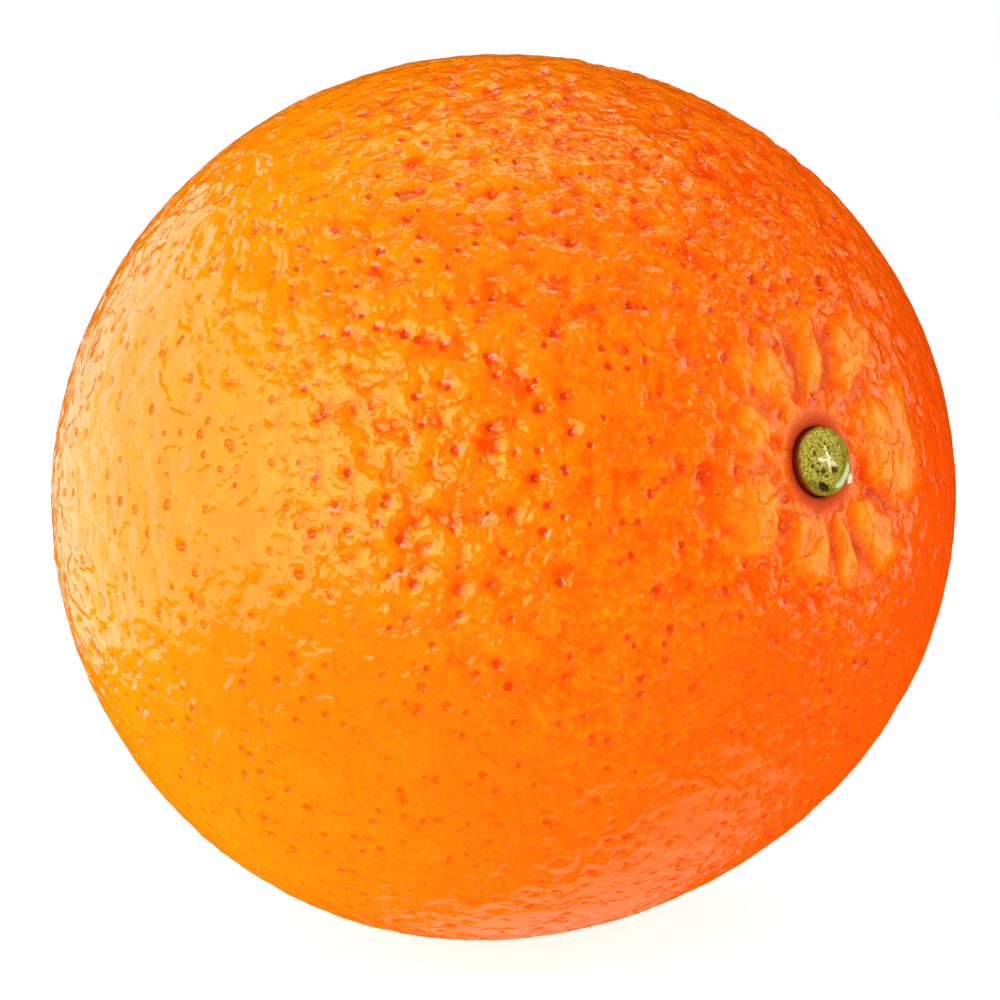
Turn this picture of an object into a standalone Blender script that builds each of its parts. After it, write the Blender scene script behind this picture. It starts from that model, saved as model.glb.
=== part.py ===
"""An orange, as picked: the whole fruit, and the dry green button that its stalk left in the stem end.

It lies on its side, on a small flat spot, with the stem end towards +X and slightly raised. The fruit's
own frame starts at its middle. There +Z leaves the stem end and +X points to the underside, so a place
on the peel is a polar angle from the stem end and an azimuth round it, counted from the underside.
The peel is one formula for the radius in a direction: an ellipsoid with broad swellings, a hollow with a
lobed collar at the stem end, and a dimple with the scar of the style at the other. Pores are sunk all
over it. They and the pits of the button are larger than life, so that a few thousand faces carry them.
"""
import math

import bmesh
import bpy
import numpy as np
from mathutils import Matrix, Vector

MM = 0.001
GAP = 0.3 * MM                      # between the button and its seat

# The fruit and how it lies
HALF_WIDTH = 38.65 * MM             # radius square to the axis through the stem end
HALF_LENGTH = 40.6 * MM             # radius along that axis
STEM_RISE = math.radians(10.3)      # of the stem end above the level
FLAT_SPOT_RADIUS = 5.5 * MM

# Broad swellings and flats: polar angle and azimuth in degrees, height in millimetres
SWELLINGS = (
    (97, 204, 0.29),
    (119, 263, 0.24),
    (104, 325, 0.60),
    (68, 13, -0.75),
    (125, 95, 0.35),
)
SWELLING_SPREAD = 0.55              # radians

# Stem end, by distance over the peel from the axis
HOLLOW_DEPTH = 1.3 * MM
HOLLOW_SPREAD = 6.5 * MM
COLLAR_HEIGHT = 0.55 * MM
COLLAR_FOOT = (3.6 * MM, 5.8 * MM)  # where the collar rises out of the hollow
COLLAR_REACH = 11.0 * MM            # where it falls off again
COLLAR_LEAN = 1.3 * MM              # further out than that on the side it leans to, nearer in opposite
COLLAR_LEAN_AZIMUTH = math.radians(105.0)
COLLAR_NOTCH = 2.5 * MM             # how far each furrow draws the outer edge in
FURROW_WIDTH = 0.6 * MM

# Furrows between the collar's lobes: azimuth in degrees, start, end and depth in millimetres
FURROWS = (
    (5, 5.0, 9.0, 0.30),
    (25, 5.5, 10.0, 0.60),
    (57, 5.0, 11.0, 0.60),
    (86, 7.0, 11.5, 0.25),
    (106, 7.0, 11.5, 0.25),
    (130, 7.5, 11.5, 0.50),
    (160, 5.5, 11.0, 0.70),
    (187, 4.8, 11.8, 0.75),
    (235, 5.5, 10.0, 0.40),
    (272, 5.0, 9.5, 0.40),
    (312, 5.0, 10.0, 0.40),
    (340, 5.5, 9.5, 0.30),
)

# Button in the stem end
BUTTON_RADIUS = 2.7 * MM
BUTTON_HEIGHT = 2.0 * MM
BUTTON_PROUD = 0.75 * MM            # its crown above the peel beside it
BUTTON_EDGE = 0.6 * MM              # round edge between crown and side
BUTTON_STEPS = 48
SCAR_RADIUS = 1.95 * MM
SCAR_DEPTH = 0.22 * MM
SCAR_STAR_HEIGHT = 0.2 * MM
SCAR_STAR_RADIUS = 0.55 * MM
PIT_COUNT = 11                      # small pits in a ring round the scar
PIT_RING = 1.4 * MM
PIT_RADIUS = 0.2 * MM
PIT_DEPTH = 0.2 * MM
DEEP_PIT_AZIMUTH = 52.0             # degrees
DEEP_PIT_RING = 1.15 * MM
DEEP_PIT_RADIUS = 0.38 * MM
DEEP_PIT_DEPTH = 0.35 * MM
LIP_AZIMUTH = 42.0                  # degrees: the torn lip of the rim
LIP_HALF_SPAN = 30.0                # degrees
LIP_RING = 2.25 * MM
LIP_RADIUS = 0.3 * MM
LIP_HEIGHT = 0.28 * MM
NOTCH_AZIMUTH = -18.0               # degrees: the notch in the rim beside the lip
NOTCH_HALF_SPAN = 14.0              # degrees
NOTCH_START = (1.7 * MM, 2.3 * MM)
NOTCH_DEPTH = 0.3 * MM

# Blossom end
DIMPLE_DEPTH = 0.5 * MM
DIMPLE_SPREAD = 5.0 * MM
STYLE_SCAR_RADIUS = 1.3 * MM
STYLE_SCAR_HEIGHT = 0.3 * MM

# Pores of the peel
PORE_COUNT = 540
PORE_FLOOR = 0.3                    # radius of a pore's round floor, as a share of its face's width
PORE_DEPTH = 0.17                   # as the same share
PORE_SIZES = (0.6, 1.0)             # from the smallest pore to the largest
STEM_CLEARANCE = 13.0 * MM          # no pores nearer the stem end, over the peel
BLOSSOM_CLEARANCE = 5.0 * MM
SPOT_CLEARANCE = 12.0 * MM
SEED = 7

# The fruit's mesh: equal segments round the axis, and zones of rings by distance over the peel
SEGMENTS = 72
SEAT_RADIUS = BUTTON_RADIUS + GAP
STEM_ZONES = ((SEAT_RADIUS, 5.0 * MM, 3), (5.0 * MM, 13.0 * MM, 10), (13.0 * MM, 16.0 * MM, 2))
BODY_RINGS = 29
UNEVENNESS = 0.18                   # share of a face's width by which its corners stray
BLOSSOM_ZONES = ((8.0 * MM, 3.0 * MM, 3), (3.0 * MM, 0.5 * MM, 5))
SHARP_ANGLE = math.radians(50.0)    # edges sharper than this are shaded as edges

MEAN_RADIUS = (2 * HALF_WIDTH + HALF_LENGTH) / 3
STEM = np.array((0.0, 0.0, 1.0))
BLOSSOM = -STEM
# Straight down, seen from the fruit's own frame
DOWN = np.array((math.cos(STEM_RISE), 0.0, -math.sin(STEM_RISE)))


def direction(polar_deg, azimuth_deg):
    """Unit vector at a polar angle from the stem end and an azimuth round it."""
    polar = math.radians(polar_deg)
    azimuth = math.radians(azimuth_deg)
    return np.array((
        math.sin(polar) * math.cos(azimuth),
        math.sin(polar) * math.sin(azimuth),
        math.cos(polar),
    ))


def angle_from(directions, axis):
    return np.arccos(np.clip(directions @ axis, -1.0, 1.0))


def smooth_step(value, start, end):
    """0 before start, 1 after end, with a smooth rise between."""
    t = np.clip((value - start) / (end - start), 0.0, 1.0)
    return t * t * (3.0 - 2.0 * t)


def body_radius(directions):
    """Ellipsoid with its broad swellings and flats."""
    across = (directions[:, 0] ** 2 + directions[:, 1] ** 2) / HALF_WIDTH ** 2
    along = directions[:, 2] ** 2 / HALF_LENGTH ** 2
    radius = 1.0 / np.sqrt(across + along)
    for polar, azimuth, height in SWELLINGS:
        angle = angle_from(directions, direction(polar, azimuth))
        radius += height * MM * np.exp(-(angle / SWELLING_SPREAD) ** 2)
    return radius


def stem_relief(directions):
    """Hollow round the button, with a raised collar that furrows cut into lobes."""
    reach = angle_from(directions, STEM) * MEAN_RADIUS
    azimuth = np.arctan2(directions[:, 1], directions[:, 0])
    furrows = np.zeros(len(directions))
    notches = np.zeros(len(directions))
    for azimuth_deg, start, end, depth in FURROWS:
        turn = azimuth - math.radians(azimuth_deg)
        aside = reach * np.sin(turn)
        ahead = np.cos(turn) > 0.0
        inside = smooth_step(reach, (start - 0.8) * MM, (start + 0.8) * MM)
        inside *= 1.0 - smooth_step(reach, (end - 1.0) * MM, (end + 1.0) * MM)
        furrows += depth * MM * inside * ahead * np.exp(-(aside / FURROW_WIDTH) ** 2)
        notches += depth * ahead * np.exp(-(aside / (2.0 * FURROW_WIDTH)) ** 2)

    # The collar's edge is steep on the side it leans to, and runs out softly on the other
    lean = np.cos(azimuth - COLLAR_LEAN_AZIMUTH)
    edge = COLLAR_REACH + COLLAR_LEAN * lean - COLLAR_NOTCH * notches
    softness = (1.6 - 0.8 * lean) * MM
    collar = smooth_step(reach, *COLLAR_FOOT) * (1.0 - smooth_step(reach, edge - softness, edge + softness))
    swell = 1.0 + 0.25 * np.sin(3.0 * azimuth + 1.0) + 0.15 * np.sin(5.0 * azimuth)
    hollow = HOLLOW_DEPTH * np.exp(-(reach / HOLLOW_SPREAD) ** 2)
    return COLLAR_HEIGHT * swell * collar - furrows - hollow


def blossom_relief(directions):
    """Shallow dimple with the small raised scar of the style in its middle."""
    reach = angle_from(directions, BLOSSOM) * MEAN_RADIUS
    relief = -DIMPLE_DEPTH * np.exp(-(reach / DIMPLE_SPREAD) ** 2)
    return relief + STYLE_SCAR_HEIGHT * np.exp(-(reach / STYLE_SCAR_RADIUS) ** 4)


def peel_radius(directions):
    return body_radius(directions) + stem_relief(directions) + blossom_relief(directions)


def seat_edge_height():
    """Height of the peel over the fruit's middle, at the edge of the button's seat."""
    edge = direction(math.degrees(SEAT_RADIUS / MEAN_RADIUS), 0.0)[None, :]
    return float((body_radius(edge) + stem_relief(edge))[0] * edge[0, 2])


CROWN_HEIGHT = seat_edge_height() + BUTTON_PROUD
SEAT_FLOOR = CROWN_HEIGHT - BUTTON_HEIGHT - GAP


def ring_polars():
    """Polar angle of each ring of the fruit's mesh from the edge of the seat on, and which are the body's."""
    stem = [np.linspace(start, end, count, endpoint=False) for start, end, count in STEM_ZONES]
    stem_polars = np.concatenate(stem) / MEAN_RADIUS
    blossom = [np.linspace(start, end, count) for start, end, count in BLOSSOM_ZONES]
    blossom_polars = math.pi - np.unique(np.concatenate(blossom))[::-1] / MEAN_RADIUS
    body_start = STEM_ZONES[-1][1] / MEAN_RADIUS
    body_polars = np.linspace(body_start, blossom_polars[0], BODY_RINGS, endpoint=False)
    polars = np.concatenate((stem_polars, body_polars, blossom_polars))
    return polars, np.isin(polars, body_polars[1:])


def fruit_mesh():
    polars, in_body = ring_polars()
    seat_rings = (SEAT_RADIUS / 2.0, SEAT_RADIUS)
    ring_total = len(seat_rings) + len(polars)
    bm = bmesh.new()
    bmesh.ops.create_uvsphere(bm, u_segments=SEGMENTS, v_segments=ring_total + 1, radius=1.0)
    coarse = np.array([vertex.co for vertex in bm.verts])
    azimuth = np.arctan2(coarse[:, 1], coarse[:, 0])
    ring = np.rint(np.arccos(np.clip(coarse[:, 2], -1.0, 1.0)) / math.pi * (ring_total + 1)).astype(int)

    # Every ring moves to its own polar angle, and out to the peel. The body's corners stray a little,
    # so that its pores keep to no grid.
    before = 1 + len(seat_rings)
    polar = np.concatenate((np.zeros(before), polars, [math.pi]))[ring]
    strays = np.concatenate((np.zeros(before), in_body, [0.0]))[ring]
    rng = np.random.default_rng(SEED)
    azimuth += strays * rng.uniform(-UNEVENNESS, UNEVENNESS, len(ring)) * 2.0 * math.pi / SEGMENTS
    ring_step = (polars[in_body][-1] - polars[in_body][0]) / (in_body.sum() - 1)
    polar += strays * rng.uniform(-UNEVENNESS, UNEVENNESS, len(ring)) * ring_step
    directions = np.stack((
        np.sin(polar) * np.cos(azimuth),
        np.sin(polar) * np.sin(azimuth),
        np.cos(polar),
    ), axis=1)
    points = directions * peel_radius(directions)[:, None]

    # The first rings make the flat floor of the button's seat
    floor_radii = np.array((0.0,) + seat_rings)
    on_floor = ring < len(floor_radii)
    floor_radius = floor_radii[ring[on_floor]]
    points[on_floor, 0] = floor_radius * np.cos(azimuth[on_floor])
    points[on_floor, 1] = floor_radius * np.sin(azimuth[on_floor])
    points[on_floor, 2] = SEAT_FLOOR
    for vertex, point in zip(bm.verts, points):
        vertex.co = point

    sink_pores(bm, rng)
    cut_flat_spot(bm)
    bmesh.ops.recalc_face_normals(bm, faces=bm.faces)
    mesh = bpy.data.meshes.new("fruit")
    bm.to_mesh(mesh)
    bm.free()
    mesh.shade_smooth()
    mesh.set_sharp_from_angle(angle=SHARP_ANGLE)
    return mesh


def sink_pores(bm, rng):
    """Sink a round floor into a face at each pore, clear of the flat spot and of both ends."""
    middles = np.array([face.calc_center_median().normalized() for face in bm.faces])
    clear = angle_from(middles, DOWN) * MEAN_RADIUS > SPOT_CLEARANCE
    clear &= angle_from(middles, STEM) * MEAN_RADIUS > STEM_CLEARANCE
    clear &= angle_from(middles, BLOSSOM) * MEAN_RADIUS > BLOSSOM_CLEARANCE
    faces = [face for face, is_clear in zip(bm.faces, clear) if is_clear]
    middles = middles[clear]

    # Even spacing over a sphere: equal steps in height, each turned on by the golden angle
    turns = np.arange(PORE_COUNT) * math.pi * (3.0 - math.sqrt(5.0))
    heights = 1.0 - (2.0 * np.arange(PORE_COUNT) + 1.0) / PORE_COUNT
    girths = np.sqrt(1.0 - heights ** 2)
    centres = np.stack((girths * np.cos(turns), girths * np.sin(turns), heights), axis=1)
    chosen = sorted({int(np.argmax(middles @ centre)) for centre in centres})
    for index, size in zip(chosen, rng.uniform(*PORE_SIZES, len(chosen))):
        face = faces[index]
        width = float(size) * min(edge.calc_length() for edge in face.edges)
        bmesh.ops.inset_individual(bm, faces=[face], thickness=PORE_FLOOR * width)
        middle = face.calc_center_median()
        for vertex in face.verts:
            aside = (vertex.co - middle).normalized()
            vertex.co = middle + PORE_FLOOR * width * aside - PORE_DEPTH * width * middle.normalized()


def flat_spot_depth():
    """Distance from the fruit's middle down to the plane of the flat spot."""
    return math.sqrt(float(body_radius(DOWN[None, :])[0]) ** 2 - FLAT_SPOT_RADIUS ** 2)


def cut_flat_spot(bm):
    whole = bm.verts[:] + bm.edges[:] + bm.faces[:]
    down = Vector(DOWN)
    bmesh.ops.bisect_plane(bm, geom=whole, dist=1e-7, plane_co=down * flat_spot_depth(), plane_no=down,
                           clear_outer=True)
    rim = [edge for edge in bm.edges if edge.is_boundary]
    bmesh.ops.contextual_create(bm, geom=rim)


def button_profile():
    """Radius and height over the crown, from the middle of the top round the side to the middle below."""
    scar_radii = np.linspace(0.0, SCAR_RADIUS, 9)
    star = SCAR_STAR_HEIGHT * np.exp(-(scar_radii / SCAR_STAR_RADIUS) ** 2)
    profile = [(radius, star_height - SCAR_DEPTH) for radius, star_height in zip(scar_radii, star)]
    inner = BUTTON_RADIUS - BUTTON_EDGE
    for turn in np.linspace(math.radians(10.0), math.radians(90.0), 5):
        profile.append((inner + BUTTON_EDGE * math.sin(turn), BUTTON_EDGE * (math.cos(turn) - 1.0)))
    profile.append((BUTTON_RADIUS * 0.93, -BUTTON_HEIGHT))
    profile.append((BUTTON_RADIUS * 0.5, -BUTTON_HEIGHT))
    profile.append((0.0, -BUTTON_HEIGHT))
    return profile


def pit_relief(x, y, ring, azimuth_deg, radius, depth):
    azimuth = math.radians(azimuth_deg)
    away = np.hypot(x - ring * math.cos(azimuth), y - ring * math.sin(azimuth))
    return -depth * np.exp(-(away / radius) ** 2)


def button_relief(x, y):
    """Height of the pits, of the torn lip and of the notch beside it, over the turned button."""
    radius = np.hypot(x, y)
    azimuth = np.degrees(np.arctan2(y, x))
    relief = pit_relief(x, y, DEEP_PIT_RING, DEEP_PIT_AZIMUTH, DEEP_PIT_RADIUS, DEEP_PIT_DEPTH)
    for pit in range(PIT_COUNT):
        relief += pit_relief(x, y, PIT_RING, 360.0 * pit / PIT_COUNT, PIT_RADIUS, PIT_DEPTH)
    lip = np.exp(-((azimuth - LIP_AZIMUTH) / LIP_HALF_SPAN) ** 4)
    lip *= np.exp(-((radius - LIP_RING) / LIP_RADIUS) ** 2)
    notch = np.exp(-((azimuth - NOTCH_AZIMUTH) / NOTCH_HALF_SPAN) ** 2)
    notch *= smooth_step(radius, *NOTCH_START)
    return relief + LIP_HEIGHT * lip - NOTCH_DEPTH * notch


def button_mesh():
    profile = bpy.data.meshes.new("button_profile")
    points = [(radius, 0.0, height) for radius, height in button_profile()]
    profile.from_pydata(points, [(i, i + 1) for i in range(len(points) - 1)], [])
    turned = bpy.data.objects.new("button_profile", profile)
    bpy.context.scene.collection.objects.link(turned)
    screw = turned.modifiers.new("turn", "SCREW")
    screw.steps = BUTTON_STEPS
    screw.render_steps = BUTTON_STEPS
    screw.use_merge_vertices = True
    screw.merge_threshold = 1e-6
    depsgraph = bpy.context.evaluated_depsgraph_get()
    mesh = bpy.data.meshes.new_from_object(turned.evaluated_get(depsgraph))
    bpy.data.objects.remove(turned)

    # Only the upper side has relief: the lower side stays flat over the floor of the seat
    points = np.array([vertex.co for vertex in mesh.vertices])
    upper = 1.0 - smooth_step(-points[:, 2], BUTTON_EDGE, BUTTON_EDGE + 0.5 * MM)
    points[:, 2] += upper * button_relief(points[:, 0], points[:, 1])
    for vertex, point in zip(mesh.vertices, points):
        vertex.co = point
    mesh.name = "stem_button"
    mesh.shade_smooth()
    mesh.set_sharp_from_angle(angle=SHARP_ANGLE)
    return mesh


def principled(name, color, roughness):
    material = bpy.data.materials.new(name)
    material.use_nodes = True
    shader = material.node_tree.nodes["Principled BSDF"]
    shader.inputs["Base Color"].default_value = (*color, 1.0)
    shader.inputs["Roughness"].default_value = roughness
    shader.inputs["Metallic"].default_value = 0.0
    material.diffuse_color = (*color, 1.0)
    return material


def add_piece(name, mesh, material, parent, collection, height=0.0):
    """Object in the fruit's own frame, with its origin that far out along the axis."""
    piece = bpy.data.objects.new(name, mesh)
    piece.data.materials.clear()
    piece.data.materials.append(material)
    piece.parent = parent
    piece.location = (0.0, 0.0, height)
    collection.objects.link(piece)
    return piece


def lay_down(pose, pieces):
    """Tip the fruit's axis over towards +X, with the flat spot at height 0 under the middle of the box."""
    turn = Matrix.Rotation(math.pi / 2.0 - STEM_RISE, 3, "Y")
    corners = []
    for piece in pieces:
        corners += [turn @ (piece.location + vertex.co) for vertex in piece.data.vertices]
    corners = np.array(corners)
    middle = (corners.min(axis=0) + corners.max(axis=0)) / 2.0
    pose.rotation_euler = turn.to_euler()
    pose.location = (-middle[0], -middle[1], flat_spot_depth())


def main():
    for thing in list(bpy.data.objects):
        bpy.data.objects.remove(thing)
    collection = bpy.data.collections.new("orange")
    bpy.context.scene.collection.children.link(collection)
    pose = bpy.data.objects.new("pose", None)
    collection.objects.link(pose)

    peel = principled("peel", (1.0, 0.22, 0.005), 0.38)
    calyx = principled("calyx", (0.28, 0.26, 0.03), 0.7)
    fruit = add_piece("fruit", fruit_mesh(), peel, pose, collection)
    button = add_piece("stem_button", button_mesh(), calyx, pose, collection, height=CROWN_HEIGHT)
    lay_down(pose, (fruit, button))


main()
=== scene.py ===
"""Looks of the orange: its pitted, pebbled peel, the corky green button in the stem end, and a plain studio.

Both pieces are meshes of their own over the same base form as the solids that they replace. The fruit's
own frame starts at its middle: there +Z leaves the stem end and +X points to the underside, so a place on
the peel is a polar angle from the stem end and an azimuth round it, counted from the underside.
"""

import math

import bpy
import numpy as np
from mathutils import Matrix, Vector, kdtree, noise
from mathutils.geometry import delaunay_2d_cdt


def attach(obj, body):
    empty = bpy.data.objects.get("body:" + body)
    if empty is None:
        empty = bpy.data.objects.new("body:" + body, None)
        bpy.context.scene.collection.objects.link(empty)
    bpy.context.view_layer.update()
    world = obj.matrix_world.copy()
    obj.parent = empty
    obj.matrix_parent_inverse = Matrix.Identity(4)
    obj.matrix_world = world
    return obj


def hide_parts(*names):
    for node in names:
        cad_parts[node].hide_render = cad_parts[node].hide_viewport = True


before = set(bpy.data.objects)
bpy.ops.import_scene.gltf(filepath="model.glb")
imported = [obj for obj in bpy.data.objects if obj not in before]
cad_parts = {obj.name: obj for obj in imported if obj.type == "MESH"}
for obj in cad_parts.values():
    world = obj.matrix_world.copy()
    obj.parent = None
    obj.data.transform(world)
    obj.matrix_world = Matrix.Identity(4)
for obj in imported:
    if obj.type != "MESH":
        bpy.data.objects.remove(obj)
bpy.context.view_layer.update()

MM = 0.001
SEED = 11

# Base form, the same as the solid's
HALF_WIDTH = 38.65 * MM
HALF_LENGTH = 40.6 * MM
STEM_RISE = math.radians(10.3)
FLAT_SPOT_RADIUS = 5.5 * MM
SWELLINGS = (
    (97, 204, 0.29),
    (119, 263, 0.24),
    (104, 325, 0.60),
    (68, 13, -0.75),
    (125, 95, 0.35),
)
SWELLING_SPREAD = 0.55
SINK = 0.15 * MM                    # of the whole peel: it keeps the pebbles inside the solid's box
MIDDLE_SHIFT = (-0.216 * MM, 0.031 * MM)  # of the fruit's own middle from the middle of the frame

# Stem end
HOLLOW_DEPTH = 1.3 * MM
HOLLOW_SPREAD = 6.5 * MM
STEM_REACH = 16.0                   # millimetres, past the ends of all lobes and furrows
BEND_SIZE = 4.5 * MM                # of the noise that bends the furrows
WOBBLE_SIZES = (2.2 * MM, 1.0 * MM)  # of the noise that makes the lobes' edges uneven
# Smooth lobes of the collar: azimuth and half width in degrees, reach, half length and height in millimetres
LOBES = (
    (97, 30, 8.3, 4.2, 0.34),
    (150, 12, 9.8, 3.8, 0.30),
    (177, 9, 8.4, 3.6, 0.28),
    (212, 13, 8.2, 3.4, 0.26),
    (246, 13, 7.0, 2.0, 0.28),
    (297, 23, 8.0, 2.8, 0.28),
    (345, 18, 6.6, 2.3, 0.32),
    (14, 8, 7.2, 2.6, 0.30),
    (43, 14, 7.9, 3.4, 0.30),
)
LOBE_WOBBLE = 0.252                 # of the lobes' edges, as a share of their half size
LOBE_SQUARENESS = 2.6               # power of their outline: 2 is an ellipse
LOBE_EDGE = (0.60, 1.15)            # start and end of the slope down, as shares of their half size
FURROW_WIDTH = 0.42 * MM
FURROW_WOBBLE = math.radians(7.0)
FURROW_START = (-1.2, 0.8)          # start and end of the slope into a furrow, in millimetres from its start
FURROW_END = (-2.0, 0.8)
# Azimuth in degrees, start, end and depth in millimetres
FURROWS = (
    (4, 5.0, 8.5, 0.25),
    (26, 6.0, 10.0, 0.42),
    (62, 4.8, 9.8, 0.38),
    (134, 5.5, 9.5, 0.30),
    (163, 6.0, 11.0, 0.42),
    (191, 5.2, 11.0, 0.50),
    (228, 5.5, 9.0, 0.30),
    (270, 5.0, 8.5, 0.30),
    (322, 5.0, 8.5, 0.30),
)
# Fine radial creases across the widest lobe
CREASES = 44                        # in a full turn
CREASE_LOBE = (97.0, 27.0)          # azimuth and half width in degrees
CREASE_REACH = (4.8, 9.0)
CREASE_SINK = 0.16 * MM
CREASE_WOBBLE = 4.0
# The smooth moat round the button, by the distance from the button's middle; its dark red is painted shade
MOAT = (3.0 * MM, 4.6 * MM)         # smoothest up to the first, as rough as the rest past the second
MOAT_SHADE_START = 3.1 * MM
MOAT_SHADE_END = 4.3 * MM
MOAT_SHADE_OVAL = 0.5 * MM               # how much farther the painted shade reaches toward the top and the underside
MOAT_SHADE_SHARE = 0.9                   # of the painted shade, in the moat
FURROW_SHADE = 1.3                  # painted shade in the furrows, for each millimetre of a furrow's depth

# Stem button
BUTTON_RADIUS = 2.7 * MM
BUTTON_HEIGHT = 2.0 * MM
BUTTON_PROUD = 0.95 * MM            # its crown above the peel beside it
BUTTON_EDGE = 0.6 * MM
BUTTON_SEGMENTS = 240
BUTTON_FACE_RINGS = 60
BUTTON_EDGE_RINGS = 15
BUTTON_SIDE_RINGS = 10
BUTTON_TAPER = 0.07                 # of its side, down to the foot
BUTTON_FOOT = 0.5                   # radius of the foot's inner ring, as a share of the button's
BUTTON_RELIEF_FADE = (0.35 * MM, 1.0 * MM)  # depth below the crown where the relief starts and ends to fade
BUTTON_SIDE_SHADE = (0.22 * MM, 0.75 * MM)  # depth below the crown where its side turns maroon: painted shade
GRAIN_SIZES = (0.22 * MM, 0.11 * MM)
SCAR_GRAIN = 0.035 * MM             # height of the scar's grain
RIM_GRAIN = 0.012 * MM
SIDE_SIZE = 0.8 * MM                # of the swellings of its side
SIDE_SWELL = 0.012                  # as a share of its radius
SCAR_MIDDLE = (-0.30, -0.45)        # millimetres toward the underside and the right of it
SCAR_RADIUS = 2.20 * MM
SCAR_EDGE = (-0.35, 0.25)           # millimetres from its radius: where the scar starts to fade and ends
MARK_GRAIN_SIZE = 0.35 * MM         # of the noise that makes the marks uneven
SCAR_DEPTH = 0.18 * MM
STAR_HEIGHT = 0.14 * MM
STAR_MIDDLE = (0.0, 0.22)
STAR_ARMS = (                       # end and width of each arm
    ((-1.0, -0.05), 0.26),
    ((-0.20, -0.85), 0.32),
    ((0.48, 0.95), 0.32),
    ((0.35, 0.20), 0.42),
    ((-0.50, 0.50), 0.26),
    ((1.0, 0.35), 0.12),
)
BUTTON_PITS = (                     # toward the underside, to the right, radius, stretch to the right
    (0.77, 0.85, 0.30, 1.35),
    (0.75, -0.30, 0.22, 1.3),
    (-0.70, -1.08, 0.15, 1.3),
    (-1.23, -1.30, 0.09, 1.0),
    (-1.23, -0.50, 0.12, 0.8),
    (-1.40, 0.10, 0.11, 1.0),
    (-1.00, 0.45, 0.12, 1.0),
    (-0.80, 0.13, 0.08, 1.0),
    (-0.56, 0.45, 0.10, 1.0),
    (-0.30, -1.85, 0.09, 1.0),
    (0.28, -1.45, 0.16, 1.2),
    (0.74, -0.95, 0.15, 1.0),
    (1.15, -0.05, 0.11, 1.4),
    (0.10, -0.95, 0.08, 1.0),
    (-1.75, -0.35, 0.07, 1.0),
)
BUTTON_PIT_DEPTH = 0.24 * MM
LIP_AZIMUTH = 45.0                  # degrees: the torn lip of the rim
LIP_HALF_SPAN = 38.0
LIP_RING = 2.06 * MM
LIP_RADIUS = 0.27 * MM
LIP_HEIGHT = 0.20 * MM
NOTCH_AZIMUTH = -18.0
NOTCH_HALF_SPAN = 15.0
NOTCH_DEPTH = 0.28 * MM
NOTCH_RING = (1.55, 1.85, 2.2, 2.6)  # millimetres: where the notch starts, is whole, begins to fade and ends
GAP_AZIMUTH = 57.0                  # degrees: the gap outside the lip, painted dark as shade
GAP_HALF_SPAN = 20.0
GAP_RING = 2.38
GAP_WIDTH = 0.09
FLAKE_AZIMUTH = 57.0                # degrees: a dry flake that sticks out of the rim
FLAKE_HALF_SPAN = 8.5
FLAKE_LENGTH = 0.55 * MM
FLAKE_RING = (2.32, 2.50)           # millimetres: where the flake starts and is whole

# Blossom end
BLOSSOM_DEPTH = 0.5 * MM
BLOSSOM_SPREAD = 5.0 * MM
STYLE_SCAR_RADIUS = 1.3 * MM
STYLE_SCAR_HEIGHT = 0.3 * MM

# Pits of the oil glands
PIT_COUNT = 4100                    # over the whole sphere
PIT_JITTER = 0.40                   # of their spacing
PIT_RADII = (0.24 * MM, 0.46 * MM)
PIT_STRETCH = 1.35                  # at most, of a pit's length against its width
PIT_STRENGTHS = (0.15, 1.0)
PIT_STRENGTH_SKEW = 1.4             # above 1 it leaves fewer strong pits
PIT_DEPTH_KEPT = 0.35               # share of a pit's depth that is left where the peel has no relief
PIT_DEPTHS = (0.05 * MM, 0.28 * MM)
PIT_RING = 0.26 * MM                # of mesh points round each pit
PIT_CORNERS = 6
DIMPLE_RADII = (0.50 * MM, 0.95 * MM)  # of the wider, shallower dimple round each pit
DIMPLE_DEPTHS = (0.02 * MM, 0.24 * MM)
PIT_STEM_CLEARANCE = 4.6 * MM
PIT_BLOSSOM_CLEARANCE = 3.0 * MM

# Pebbles and broad unevenness: size and height of each layer in millimetres
LAYERS = (
    (7.0, 0.06),
    (3.0, 0.12),
    (1.5, 0.29),
    (0.85, 0.16),
)
CREASE_SIZE = 2.6 * MM
CREASE_WIDTH = 0.20                 # as a share of the noise's range
CREASE_DEPTH = 0.03 * MM
LOW_SHADE_PIT_SHARE = 0.35             # of the pits' depth that counts toward the painted shade of the low ground
LOW_SHADE_LIFT = 0.03 * MM

# The peel is rougher on one side and on the one opposite: polar angle and azimuth of the middle of that side
ROUGH_SIDE = (27.0, -150.0)
ROUGH_ANGLES = (math.radians(58.0), math.radians(34.0))
ROUGH_WANDER = 0.25                 # radians: of the border between rough and smooth peel
ROUGH_WANDER_SIZE = 14.0 * MM
SLEEK_SIDE = (44.0, 99.0)           # the sleekest part of the peel, beside the stem end
SLEEK_ANGLES = (math.radians(18.0), math.radians(32.0))
SLEEK_SHARE = 0.35                  # of the relief that is left on it
SMOOTH_SHARE = 0.28                 # of the relief that is left on the smooth sides
LOBE_SMOOTHING = 0.40               # share of the relief that the lobes lose
MOAT_SMOOTHING = 0.85

# The peel's mesh
SEAT_RADIUS = 2.78 * MM             # edge of the well that the button sits in
SEAT_FOOT = 3.0 * MM                # where the peel's height beside the button is taken
SEAT_CORNERS = 96
WELL_DEPTH = 1.7 * MM
WELL_RINGS = (                      # radius and depth of each, as shares of the well's
    (0.992, 0.12),
    (0.985, 0.5),
    (0.985, 1.0),
    (0.6, 1.0),
    (0.25, 1.0),
)
STEM_ZONE = 13.5 * MM               # reach of the closer points round the stem end
STEM_STEP = 0.33 * MM
STEM_JITTER = 0.15                  # of their spacing
STEM_ZONE_GAP = 0.5 * MM            # from these points to the first pit that has a ring of its own
FILL_COUNT = 78500                  # over the whole sphere, before pits and stem end take their places
FILL_JITTER = 0.12                  # of their spacing
FILL_CLEARANCE = 0.52 * MM          # from a pit's middle

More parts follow.
